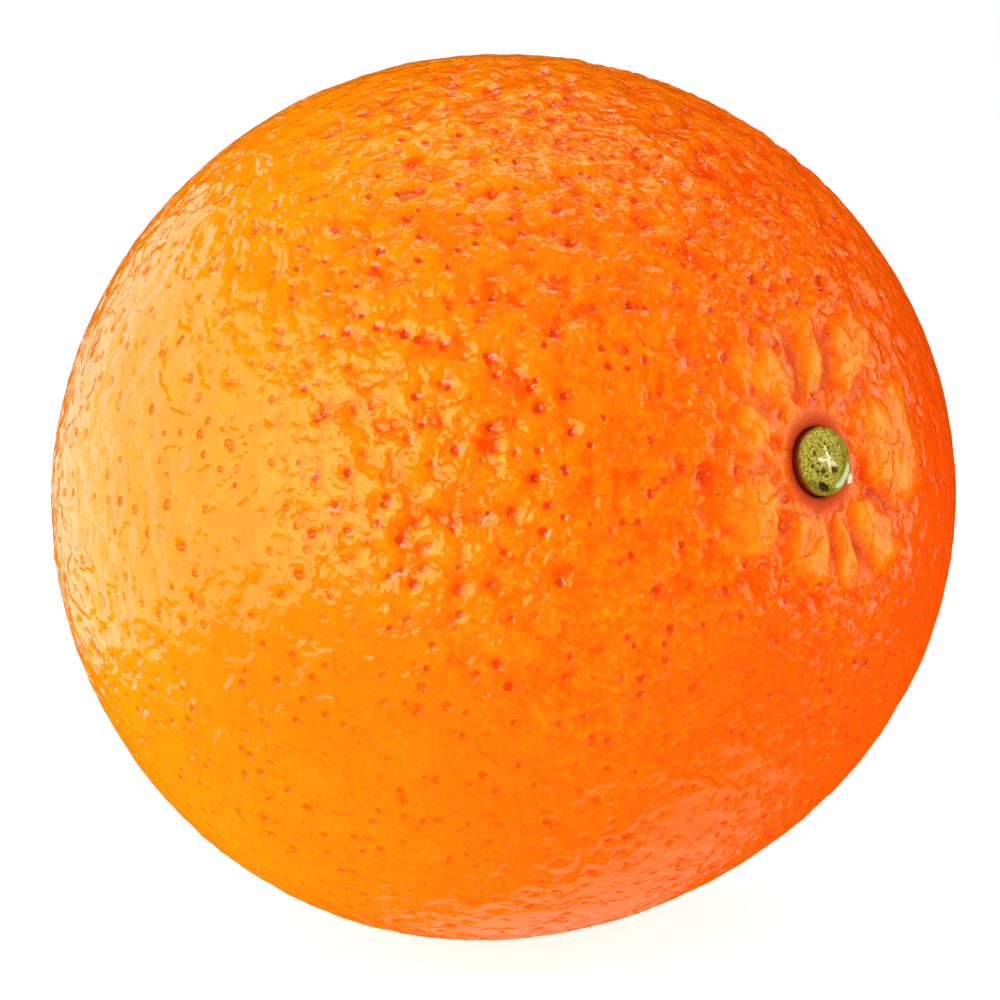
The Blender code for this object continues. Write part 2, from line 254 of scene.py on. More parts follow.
FAR = 6.0                           # the most that a pit's distance counts, in its radii; so too in the well

MEAN_RADIUS = (2 * HALF_WIDTH + HALF_LENGTH) / 3
STEM = np.array((0.0, 0.0, 1.0))
DOWN = np.array((math.cos(STEM_RISE), 0.0, -math.sin(STEM_RISE)))


# ---------------------------------------------------------------- formulas

def direction(polar_deg, azimuth_deg):
    polar = math.radians(polar_deg)
    azimuth = math.radians(azimuth_deg)
    return np.array((
        math.sin(polar) * math.cos(azimuth),
        math.sin(polar) * math.sin(azimuth),
        math.cos(polar),
    ))


def unit(points):
    return points / np.linalg.norm(points, axis=1)[:, None]


def angle_from(directions, axis):
    return np.arccos(np.clip(directions @ axis, -1.0, 1.0))


def smooth_step(value, start, end):
    t = np.clip((value - start) / (end - start), 0.0, 1.0)
    return t * t * (3.0 - 2.0 * t)


def soft_noise(points, size, layer):
    """Smooth noise between about -1 and 1, with bumps of that size. Each layer is a noise of its own."""
    shift = Vector((17.3, 5.1, 9.7)) * layer
    return np.array([noise.noise(Vector(point) + shift) for point in points / size])


def body_radius(directions):
    across = (directions[:, 0] ** 2 + directions[:, 1] ** 2) / HALF_WIDTH ** 2
    along = directions[:, 2] ** 2 / HALF_LENGTH ** 2
    radius = 1.0 / np.sqrt(across + along)
    for polar, azimuth, height in SWELLINGS:
        angle = angle_from(directions, direction(polar, azimuth))
        radius += height * MM * np.exp(-(angle / SWELLING_SPREAD) ** 2)
    return radius


def stem_fields(directions):
    """The stem end's relief at each direction, the share of lobe, and the furrows' depth in millimetres."""
    reach = angle_from(directions, STEM) * MEAN_RADIUS / MM
    azimuth = np.arctan2(directions[:, 1], directions[:, 0])
    close = reach < STEM_REACH
    places = directions[close] * MEAN_RADIUS
    bend = np.zeros(len(directions))
    wobble = np.zeros(len(directions))
    bend[close] = soft_noise(places, BEND_SIZE, 21)
    wobble[close] = soft_noise(places, WOBBLE_SIZES[0], 22) + 0.5 * soft_noise(places, WOBBLE_SIZES[1], 23)

    def turn_from(azimuth_deg):
        turn = azimuth - math.radians(azimuth_deg) + FURROW_WOBBLE * bend
        return np.abs((turn + math.pi) % (2.0 * math.pi) - math.pi)

    lobes = np.zeros(len(directions))
    rise = np.zeros(len(directions))
    for azimuth_deg, half_width, middle, half_length, height in LOBES:
        ahead = np.abs(reach - middle) / half_length
        aside = turn_from(azimuth_deg) / math.radians(half_width)
        edge = (ahead ** LOBE_SQUARENESS + aside ** LOBE_SQUARENESS) ** (1.0 / LOBE_SQUARENESS)
        lobe = 1.0 - smooth_step(edge + LOBE_WOBBLE * wobble, *LOBE_EDGE)
        lobes = np.maximum(lobes, lobe)
        rise = np.maximum(rise, height * MM * lobe)

    furrows = np.zeros(len(directions))
    for azimuth_deg, start, end, depth in FURROWS:
        turn = turn_from(azimuth_deg)
        aside = reach * MM * np.sin(np.minimum(turn, math.pi / 2.0))
        inside = smooth_step(reach - start, *FURROW_START) * (1.0 - smooth_step(reach - end, *FURROW_END))
        furrows = np.maximum(furrows, depth * MM * inside * np.exp(-(aside / FURROW_WIDTH) ** 2))

    middle, half_width = CREASE_LOBE
    start, end = CREASE_REACH
    within = 1.0 - smooth_step(turn_from(middle), *np.radians((half_width - 6.0, half_width + 2.0)))
    within *= smooth_step(reach, start, start + 1.0)
    within *= 1.0 - smooth_step(reach, end - 2.0, end + 1.5)
    line = np.maximum(0.0, np.cos(CREASES * azimuth + CREASE_WOBBLE * wobble)) ** 4
    creases = CREASE_SINK * within * line * (0.55 + 0.9 * bend)

    hollow = HOLLOW_DEPTH * np.exp(-(reach * MM / HOLLOW_SPREAD) ** 2)
    return rise - furrows - creases - hollow, lobes, furrows / MM


def blossom_relief(directions):
    reach = angle_from(directions, -STEM) * MEAN_RADIUS
    relief = -BLOSSOM_DEPTH * np.exp(-(reach / BLOSSOM_SPREAD) ** 2)
    return relief + STYLE_SCAR_HEIGHT * np.exp(-(reach / STYLE_SCAR_RADIUS) ** 4)


def roughness_of(directions):
    """Share of the full relief that the peel has at each direction."""
    angle = angle_from(directions, direction(*ROUGH_SIDE))
    angle = np.minimum(angle, math.pi - angle)
    angle += ROUGH_WANDER * soft_noise(directions * MEAN_RADIUS, ROUGH_WANDER_SIZE, 5)
    rough = SMOOTH_SHARE + (1.0 - SMOOTH_SHARE) * smooth_step(angle, *ROUGH_ANGLES)
    outside = smooth_step(angle_from(directions, direction(*SLEEK_SIDE)), *SLEEK_ANGLES)
    return rough * (SLEEK_SHARE + (1.0 - SLEEK_SHARE) * outside)


def flat_spot_depth():
    return math.sqrt(float(body_radius(DOWN[None, :])[0]) ** 2 - FLAT_SPOT_RADIUS ** 2)


def seat_edge_height():
    edge = direction(math.degrees(SEAT_FOOT / MEAN_RADIUS), 0.0)[None, :]
    hollow = HOLLOW_DEPTH * np.exp(-(SEAT_FOOT / HOLLOW_SPREAD) ** 2)
    return float(((body_radius(edge) - hollow) * edge[:, 2])[0])


CROWN_HEIGHT = seat_edge_height() + BUTTON_PROUD

# Where the fruit lies: its middle, and its own frame turned over onto its side
MIDDLE = Vector((*MIDDLE_SHIFT, flat_spot_depth()))
POSE = Matrix.Translation(MIDDLE) @ Matrix.Rotation(math.pi / 2.0 - STEM_RISE, 4, "Y")


def posed(points):
    turn = np.array(POSE.to_3x3())
    return points @ turn.T + np.array(POSE.translation)


def circle(corners):
    """Azimuths of that many corners, evenly spaced round a full turn."""
    return np.arange(corners) * 2.0 * math.pi / corners


def make_piece(name, points, faces, fields):
    mesh = bpy.data.meshes.new(name)
    mesh.from_pydata(posed(points).tolist(), [], faces)
    mesh.update()
    mesh.shade_smooth()
    for field, values in fields.items():
        attribute = mesh.attributes.new(field, "FLOAT", "POINT")
        attribute.data.foreach_set("value", values.astype(np.float32))
    piece = bpy.data.objects.new(name, mesh)
    bpy.context.scene.collection.objects.link(piece)
    return piece


# ---------------------------------------------------------------- peel

def spread(count, jitter, rng):
    """Directions spread evenly over the sphere, then shaken by that share of their spacing."""
    steps = np.arange(count)
    heights = 1.0 - (2.0 * steps + 1.0) / count
    turns = steps * math.pi * (3.0 - math.sqrt(5.0))
    girths = np.sqrt(1.0 - heights ** 2)
    points = np.stack((girths * np.cos(turns), girths * np.sin(turns), heights), axis=1)
    spacing = math.sqrt(4.0 * math.pi / count)
    return unit(points + rng.normal(0.0, jitter * spacing, points.shape))


def tree_of(points):
    tree = kdtree.KDTree(len(points))
    for index, point in enumerate(points):
        tree.insert(Vector(point), index)
    tree.balance()
    return tree


def ring_round(centres, radius, corners, rng):
    """A ring of directions round each centre, each ring turned at random."""
    helper = np.where(np.abs(centres[:, 2:3]) > 0.9, (1.0, 0.0, 0.0), (0.0, 0.0, 1.0))
    first = unit(np.cross(centres, helper))
    second = np.cross(centres, first)
    turns = rng.uniform(0.0, 2.0 * math.pi, len(centres))
    rings = []
    for corner in range(corners):
        turn = turns + 2.0 * math.pi * corner / corners
        aside = np.cos(turn)[:, None] * first + np.sin(turn)[:, None] * second
        rings.append(unit(centres + aside * radius / MEAN_RADIUS))
    return np.concatenate(rings)


def stem_grid(rng):
    """Directions in rings round the button, closer together than elsewhere."""
    points = []
    reaches = np.arange(SEAT_RADIUS + STEM_STEP, STEM_ZONE, STEM_STEP * 0.9)
    for number, reach in enumerate(reaches):
        count = int(2.0 * math.pi * reach / STEM_STEP)
        turn = (np.arange(count) + 0.5 * (number % 2)) * 2.0 * math.pi / count
        turn = turn + rng.uniform(-STEM_JITTER, STEM_JITTER, count) * STEM_STEP / reach
        polar = reach / MEAN_RADIUS
        points.append(np.stack((
            math.sin(polar) * np.cos(turn),
            math.sin(polar) * np.sin(turn),
            np.full(count, math.cos(polar)),
        ), axis=1))
    return np.concatenate(points)


class Pits:
    """The oil glands' pits: where they lie, and the size, depth and grain of each."""

    def __init__(self, rng):
        centres = spread(PIT_COUNT, PIT_JITTER, rng)
        keep = angle_from(centres, STEM) * MEAN_RADIUS > PIT_STEM_CLEARANCE
        keep &= stem_fields(centres)[1] < 0.5
        keep &= angle_from(centres, -STEM) * MEAN_RADIUS > PIT_BLOSSOM_CLEARANCE
        self.centres = centres[keep]
        count = len(self.centres)
        weakest, strongest = PIT_STRENGTHS
        self.strength = weakest + (strongest - weakest) * rng.uniform(0.0, 1.0, count) ** PIT_STRENGTH_SKEW
        self.radius = rng.uniform(*PIT_RADII, count)
        self.depth = PIT_DEPTHS[0] + (PIT_DEPTHS[1] - PIT_DEPTHS[0]) * self.strength
        self.dimple_radius = rng.uniform(*DIMPLE_RADII, count)
        self.dimple_depth = rng.uniform(*DIMPLE_DEPTHS, count)
        grain = unit(np.cross(self.centres, rng.normal(0.0, 1.0, self.centres.shape)))
        stretch = rng.uniform(1.0, PIT_STRETCH, count)
        self.grain = grain * (stretch ** 2 - 1.0)[:, None] ** 0.5


def peel_points(pits, rng):
    """All directions that the mesh of the peel is made of. The first ones go round the seat."""
    turn = circle(SEAT_CORNERS)
    polar = SEAT_RADIUS / MEAN_RADIUS
    seat = np.stack((
        math.sin(polar) * np.cos(turn),
        math.sin(polar) * np.sin(turn),
        np.full(SEAT_CORNERS, math.cos(polar)),
    ), axis=1)
    outer = pits[angle_from(pits, STEM) * MEAN_RADIUS > STEM_ZONE + STEM_ZONE_GAP]
    rings = ring_round(outer, PIT_RING, PIT_CORNERS, rng)
    fill = spread(FILL_COUNT, FILL_JITTER, rng)
    fill = fill[angle_from(fill, STEM) * MEAN_RADIUS > STEM_ZONE]
    tree = tree_of(outer)
    clear = np.array([tree.find(Vector(point))[2] * MEAN_RADIUS > FILL_CLEARANCE for point in fill])
    return np.concatenate((seat, stem_grid(rng), outer, rings, fill[clear]))


def triangulate(directions):
    """Triangles over the sphere, by a flat map of it from the stem end."""
    flat = directions[:, :2] / (1.0 - directions[:, 2:3])
    made = delaunay_2d_cdt([Vector(point) for point in flat], [], [], 0, 1e-7, True)
    origin = [ids[0] for ids in made[3]]
    triangles = np.array([[origin[corner] for corner in face] for face in made[2]])
    corners = directions[triangles]
    outward = np.cross(corners[:, 1] - corners[:, 0], corners[:, 2] - corners[:, 0])
    inward = np.einsum("ij,ij->i", outward, corners[:, 0]) < 0.0
    triangles[inward] = triangles[inward][:, ::-1]
    return triangles


def pit_fields(directions, pits):
    """Depth of the pits at each direction, how far it lies from the nearest one's middle in that pit's radii,
    and how strong that pit is."""
    tree = tree_of(pits.centres)
    grain = [Vector(line) for line in pits.grain]
    depth = np.zeros(len(directions))
    share = np.zeros(len(directions))
    strength = np.zeros(len(directions))
    for index, point in enumerate(directions):
        place = Vector(point)
        for centre, pit, away in reversed(tree.find_n(place, 3)):
            reach = math.hypot(away, grain[pit].dot(place - centre)) * MEAN_RADIUS
            share[index] = reach / pits.radius[pit]
            depth[index] += pits.depth[pit] * math.exp(-share[index] ** 2)
            depth[index] += pits.dimple_depth[pit] * math.exp(-(reach / pits.dimple_radius[pit]) ** 2)
            strength[index] = pits.strength[pit]
    return depth, {"pit_distance": np.minimum(share, FAR), "pit_strength": strength}


def peel_form(directions, pits):
    """Places of the peel's points in the fruit's own frame, and the fields that its material reads."""
    places = directions * MEAN_RADIUS
    relief = np.zeros(len(directions))
    for layer, (size, height) in enumerate(LAYERS):
        relief += height * MM * soft_noise(places, size * MM, layer)
    relief -= CREASE_DEPTH * np.exp(-(soft_noise(places, CREASE_SIZE, 9) / CREASE_WIDTH) ** 2)
    depth, fields = pit_fields(directions, pits)
    reach = angle_from(directions, STEM) * MEAN_RADIUS
    near_button = 1.0 - smooth_step(reach, *MOAT)
    stem_form, lobes, furrows = stem_fields(directions)
    rough = roughness_of(directions) * (1.0 - LOBE_SMOOTHING * lobes) * (1.0 - MOAT_SMOOTHING * near_button)
    azimuth = np.arctan2(directions[:, 1], directions[:, 0])
    # painted shade: dark red in the moat round the button and in the furrows
    moat_and_furrow_shade = 1.0 - smooth_step(reach, MOAT_SHADE_START, MOAT_SHADE_END + MOAT_SHADE_OVAL * np.cos(2.0 * azimuth))
    fields["rough"] = rough
    fields["moat_and_furrow_shade"] = np.clip(MOAT_SHADE_SHARE * moat_and_furrow_shade + FURROW_SHADE * furrows, 0.0, 1.0)
    fields["lobe"] = lobes
    fields["style_scar"] = np.exp(-(angle_from(directions, -STEM) * MEAN_RADIUS / STYLE_SCAR_RADIUS) ** 4)
    relief *= rough
    # painted shade: how low the relief lies, for the red in the low ground
    fields["low_shade"] = (relief - LOW_SHADE_PIT_SHARE * depth * rough + LOW_SHADE_LIFT) / MM
    depth *= (PIT_DEPTH_KEPT + (1.0 - PIT_DEPTH_KEPT) * rough) * (1.0 - near_button)
    radius = body_radius(directions) + stem_form + blossom_relief(directions) + relief - depth - SINK
    points = directions * radius[:, None]

    # The flat spot: whatever would reach below it lies in its plane
    below = points @ DOWN / flat_spot_depth()
    points[below > 1.0] /= below[below > 1.0][:, None]
    return points, fields


def add_well(points, faces):
    """The well under the button, from the ring of points round the seat down to a closed bottom."""
    turn = circle(SEAT_CORNERS)
    rim_height = points[:SEAT_CORNERS, 2].mean()
    rings = []
    for share, drop in WELL_RINGS:
        rings.append(np.stack((
            SEAT_RADIUS * share * np.cos(turn),
            SEAT_RADIUS * share * np.sin(turn),
            np.full(SEAT_CORNERS, rim_height - WELL_DEPTH * drop),
        ), axis=1))
    start = len(points)
    points = np.concatenate([points, *rings, [(0.0, 0.0, rim_height - WELL_DEPTH)]])
    before = list(range(SEAT_CORNERS))
    for number in range(len(rings)):
        after = [start + number * SEAT_CORNERS + corner for corner in range(SEAT_CORNERS)]
        for corner in range(SEAT_CORNERS):
            along = (corner + 1) % SEAT_CORNERS
            faces.append((before[corner], before[along], after[along], after[corner]))
        before = after
    middle = len(points) - 1
    faces += [(before[c], before[(c + 1) % SEAT_CORNERS], middle) for c in range(SEAT_CORNERS)]
    return points


def make_peel():
    rng = np.random.default_rng(SEED)
    pits = Pits(rng)
    directions = peel_points(pits.centres, rng)
    triangles = triangulate(directions)
    print("peel: points", len(directions), "triangles", len(triangles))
    outside, fields = peel_form(directions, pits)
    faces = triangles.tolist()
    points = add_well(outside, faces)
    in_well = np.full(len(points) - len(outside), FAR)
    fields = {name: np.concatenate((values, in_well)) for name, values in fields.items()}
    return make_piece("peel", points, faces, fields)


# ---------------------------------------------------------------- stem button

def mark(x, y, place, radius, stretch=1.0):
    """Round mark, strongest in its middle. Its place is in millimetres toward the underside and the right."""
    away = np.hypot(x / MM - place[0], (y / MM - place[1]) / stretch)
    return np.exp(-(away / radius) ** 2)


def line_mark(x, y, start, end, width):
    start, end = np.array(start), np.array(end)
    along = end - start
    across = np.stack((x / MM, y / MM), axis=1) - start
    share = np.clip(across @ along / (along @ along), 0.0, 1.0)
    away = np.linalg.norm(across - share[:, None] * along, axis=1)
    return np.exp(-(away / (width * (1.0 - 0.5 * share))) ** 2)


def button_fields(x, y):
    """Marks on the button's face, each between 0 and 1."""
    radius = np.hypot(x, y) / MM
    azimuth = np.degrees(np.arctan2(y, x))
    places = np.stack((x, y, np.zeros(len(x))), axis=1)
    grain = soft_noise(places, MARK_GRAIN_SIZE, 31)
    away = np.hypot(x / MM - SCAR_MIDDLE[0], y / MM - SCAR_MIDDLE[1]) + 0.12 * grain
    fields = {"scar": 1.0 - smooth_step(away - SCAR_RADIUS / MM, *SCAR_EDGE)}
    star = np.zeros(len(x))
    for end, width in STAR_ARMS:
        star = np.maximum(star, line_mark(x, y, STAR_MIDDLE, end, width))
    fields["star"] = np.clip(star * (1.0 + 0.8 * grain), 0.0, 1.0)
    pits = np.zeros(len(x))
    for down, right, size, stretch in BUTTON_PITS:
        pits = np.maximum(pits, mark(x, y, (down, right), size, stretch))
    fields["pit"] = np.clip(1.3 * pits * (1.0 + 0.5 * grain), 0.0, 1.0)
    turn = (azimuth - LIP_AZIMUTH) / LIP_HALF_SPAN
    lip = np.exp(-turn ** 4) * np.exp(-((radius - LIP_RING / MM) / (LIP_RADIUS / MM)) ** 2)
    fields["lip"] = np.clip(1.15 * lip, 0.0, 1.0)
    notch = np.exp(-((azimuth - NOTCH_AZIMUTH) / NOTCH_HALF_SPAN) ** 2)
    notch *= smooth_step(radius, *NOTCH_RING[:2]) * (1.0 - smooth_step(radius, *NOTCH_RING[2:]))
    gap = np.exp(-((azimuth - GAP_AZIMUTH) / GAP_HALF_SPAN) ** 4)
    gap *= np.exp(-((radius - GAP_RING) / GAP_WIDTH) ** 2)
    fields["notch"] = np.clip(notch * (1.0 + 0.6 * grain) + 0.8 * gap, 0.0, 1.0)
    flake = np.exp(-((azimuth - FLAKE_AZIMUTH) / FLAKE_HALF_SPAN) ** 4)
    fields["flake"] = flake * smooth_step(radius, *FLAKE_RING)
    return fields


def button_profile():
    """Radius and height of each ring of the button's points, from the middle of its face to its foot."""
    inner = BUTTON_RADIUS - BUTTON_EDGE
    profile = [(share * inner, 0.0) for share in np.arange(1, BUTTON_FACE_RINGS + 1) / BUTTON_FACE_RINGS]
    for lean in np.radians(np.linspace(6.0, 90.0, BUTTON_EDGE_RINGS)):
        profile.append((inner + BUTTON_EDGE * math.sin(lean), BUTTON_EDGE * (math.cos(lean) - 1.0)))
    for share in np.arange(1, BUTTON_SIDE_RINGS + 1) / BUTTON_SIDE_RINGS:
        radius = BUTTON_RADIUS * (1.0 - BUTTON_TAPER * share)
        profile.append((radius, -BUTTON_EDGE - share * (BUTTON_HEIGHT - BUTTON_EDGE)))
    profile.append((BUTTON_FOOT * BUTTON_RADIUS, -BUTTON_HEIGHT))
    return profile


def button_faces(rings):
    """Faces from a first point out over the rings and in again to a last point."""
    around = [(corner, (corner + 1) % BUTTON_SEGMENTS) for corner in range(BUTTON_SEGMENTS)]
    faces = [(0, 1 + corner, 1 + beside) for corner, beside in around]
    for ring in range(rings - 1):
        before = 1 + ring * BUTTON_SEGMENTS
        after = before + BUTTON_SEGMENTS
        for corner, beside in around:
            faces.append((before + corner, after + corner, after + beside, before + beside))
    last = 1 + (rings - 1) * BUTTON_SEGMENTS
    middle = last + BUTTON_SEGMENTS
    faces += [(last + corner, middle, last + beside) for corner, beside in around]
    return faces


def make_button():
    turn = circle(BUTTON_SEGMENTS)
    profile = button_profile()
    radii = np.array([0.0] + [radius for radius, _ in profile for _ in turn] + [0.0])
    heights = np.array([0.0] + [height for _, height in profile for _ in turn] + [-BUTTON_HEIGHT])
    turns = np.concatenate(([0.0], np.tile(turn, len(profile)), [0.0]))
    x = radii * np.cos(turns)
    y = radii * np.sin(turns)

    fields = button_fields(x, y)
    upper = 1.0 - smooth_step(-heights, *BUTTON_RELIEF_FADE)
    places = np.stack((x, y, heights), axis=1)
    grain = soft_noise(places, GRAIN_SIZES[0], 33) + 0.6 * soft_noise(places, GRAIN_SIZES[1], 34)
    relief = STAR_HEIGHT * fields["star"] + LIP_HEIGHT * fields["lip"]
    relief -= SCAR_DEPTH * fields["scar"] + BUTTON_PIT_DEPTH * fields["pit"] + NOTCH_DEPTH * fields["notch"]
    relief += (SCAR_GRAIN * fields["scar"] + RIM_GRAIN) * grain
    heights = heights + upper * relief
    sides = soft_noise(places, SIDE_SIZE, 35)
    swell = 1.0 + upper * (SIDE_SWELL * sides + FLAKE_LENGTH / BUTTON_RADIUS * fields["flake"])
    points = np.stack((x * swell, y * swell, heights + CROWN_HEIGHT), axis=1)

    fields = {name: values * upper for name, values in fields.items()}
    outer = radii > BUTTON_RADIUS - BUTTON_EDGE
    # painted shade: maroon on the button's side below the crown
    fields["low"] = smooth_step(-np.minimum(heights, 0.0), *BUTTON_SIDE_SHADE) * outer
    return make_piece("button", points, button_faces(len(profile)), fields)


# ---------------------------------------------------------------- materials

class Nodes:
    """A material's node tree, built by short calls. The scale of a texture counts its bumps in a metre."""

    def __init__(self, name):
        self.material = bpy.data.materials.new(name)
        self.material.use_nodes = True
        self.tree = self.material.node_tree
        self.shader = self.tree.nodes["Principled BSDF"]

    def put(self, socket, value):
        if isinstance(value, bpy.types.NodeSocket):
            self.tree.links.new(value, socket)
        else:
            socket.default_value = value

    def add(self, kind, **settings):
        node = self.tree.nodes.new(kind)
        for name, value in settings.items():
            setattr(node, name, value)
        return node

    def math(self, operation, first, second=0.0, third=0.0):
        node = self.add("ShaderNodeMath", operation=operation)
        for socket, value in zip(node.inputs, (first, second, third)):
            self.put(socket, value)
        return node.outputs[0]

    def vector(self, operation, first, second, output="Vector"):
        node = self.add("ShaderNodeVectorMath", operation=operation)
        self.put(node.inputs[0], first)
        self.put(node.inputs[1], second)
        return node.outputs[output]

    def noise(self, place, scale, detail=2.0, roughness=0.5, output="Fac"):
        node = self.add("ShaderNodeTexNoise")
        self.put(node.inputs["Vector"], place)
        node.inputs["Scale"].default_value = scale
        node.inputs["Detail"].default_value = detail
        node.inputs["Roughness"].default_value = roughness
        return node.outputs[output]

    def cells(self, place, scale):
        node = self.add("ShaderNodeTexVoronoi", feature="F1")
        self.put(node.inputs["Vector"], place)
        node.inputs["Scale"].default_value = scale
        return node.outputs["Distance"]

    def ramp(self, value, low, high, start=0.0, end=1.0):
        node = self.add("ShaderNodeMapRange", interpolation_type="SMOOTHSTEP")
        for name, given in (("Value", value), ("From Min", low), ("From Max", high),
                            ("To Min", start), ("To Max", end)):
            self.put(node.inputs[name], given)
        return node.outputs[0]

    def mix(self, share, first, second):
        node = self.add("ShaderNodeMix", data_type="RGBA")
        self.put(node.inputs[0], share)
        for socket, value in ((node.inputs[6], first), (node.inputs[7], second)):
            self.put(socket, (*value, 1.0) if isinstance(value, tuple) and len(value) == 3 else value)
        return node.outputs[2]

    def attribute(self, name):
        return self.add("ShaderNodeAttribute", attribute_name=name).outputs["Fac"]

    def bump(self, height, distance, normal=None):
        node = self.add("ShaderNodeBump")
        self.put(node.inputs["Height"], height)
        node.inputs["Distance"].default_value = distance
        node.inputs["Strength"].default_value = 1.0
        if normal is not None:
            self.put(node.inputs["Normal"], normal)
        return node.outputs[0]


RED_AND_SHADE_SIDE = (58.0, 52.0)            # polar angle and azimuth of the reddest side of the peel: partly its own colour, partly painted shade
RED_AND_SHADE_SPAN = (-46.0 * MM, 42.0 * MM)  # toward it from the fruit's middle: red starts, red is whole
RED_AND_SHADE_WANDER = 30.0 * MM
YELLOW_PEEL = (0.90, 0.270, 0.0012)
RED_PEEL = (0.84, 0.047, 0.0006)
# painted highlight on the raised lobes round the stem end
LOBE_HIGHLIGHT_YELLOW = (0.93, 0.215, 0.001)
# yellow grain on the crests of the fine bump: partly the peel's own mottling, partly painted highlight
GRAIN_AND_CREST_YELLOW = (0.93, 0.32, 0.002)
# painted shade in the hollows between the pebbles
HOLLOW_SHADE_RED = (0.80, 0.048, 0.0008)
# painted shade in the low ground of the relief
LOW_SHADE_RED = (0.80, 0.042, 0.0006)
LOW_SHADE_SPAN = (0.0, -0.26)          # millimetres of relief, where the painted shade starts and where it is whole
# painted shade in the moat round the button and in the furrows
MOAT_SHADE_RED = (0.55, 0.014, 0.0002)
# painted shade in the pits' cores
PIT_SHADE_RED = (0.84, 0.034, 0.0)
STYLE_BROWN = (0.24, 0.10, 0.02)
PEBBLE_WARP = 1.2 * MM
PEBBLE_BUMP = 0.22 * MM
PIT_WALL_BUMP = 0.18 * MM
SMOOTH_BUMP = 0.22                  # share of the pebbles' bump that is left on the smooth sides


def peel_color(n, place, pebbles, cell, fine, pit_shade):
    """The peel's colour: yellow to red across it, partly painted light and shade; painted highlight on the
    lobes; yellow grain, partly painted highlight; painted shade in the hollows, the low ground, the moat, the
    furrows and the pits' cores; and the style scar.
    """
    rough = n.attribute("rough")
    # yellow to red across the peel: partly its own colour, partly painted light and shade
    axis = Vector(POSE.to_3x3() @ Vector(direction(*RED_AND_SHADE_SIDE)))
    from_middle = n.vector("SUBTRACT", place, tuple(MIDDLE))
    along = n.vector("DOT_PRODUCT", from_middle, tuple(axis), output="Value")
    drift = n.math("SUBTRACT", n.noise(place, 35.0), 0.5)
    along = n.math("MULTIPLY_ADD", drift, RED_AND_SHADE_WANDER, along)
    color = n.mix(n.ramp(along, *RED_AND_SHADE_SPAN), YELLOW_PEEL, RED_PEEL)

    # painted highlight: yellower colour on the lobes
    lobe = n.math("MULTIPLY", n.attribute("lobe"), n.ramp(pebbles, 0.35, 0.55, 0.45, 0.85))
    color = n.mix(lobe, color, LOBE_HIGHLIGHT_YELLOW)
    # yellow grain: partly the peel's own mottling, partly painted highlight on the fine bump's crests
    grain = n.math("MULTIPLY", n.ramp(fine, 0.45, 0.72), rough)
    color = n.mix(n.math("MULTIPLY", grain, 0.55), color, GRAIN_AND_CREST_YELLOW)
    # painted shade: red in the hollows of the pebbles' bump
    hollow = n.math("MULTIPLY_ADD", pebbles, -0.6, n.math("ADD", cell, 0.3))
    hollow = n.math("MULTIPLY", n.ramp(hollow, 0.42, 0.75), rough)
    color = n.mix(n.math("MULTIPLY", hollow, 0.35), color, HOLLOW_SHADE_RED)
    # painted shade in the low ground
    color = n.mix(n.ramp(n.attribute("low_shade"), *LOW_SHADE_SPAN, 0.0, 0.85), color, LOW_SHADE_RED)
    # painted shade in the moat and the furrows
    color = n.mix(n.math("MULTIPLY", n.attribute("moat_and_furrow_shade"), 0.90), color, MOAT_SHADE_RED)
    # painted shade: red in the pits' cores
    color = n.mix(n.math("MULTIPLY", pit_shade, n.ramp(rough, 0.2, 0.9, 0.50, 1.0)), color, PIT_SHADE_RED)
    return n.mix(n.attribute("style_scar"), color, STYLE_BROWN)


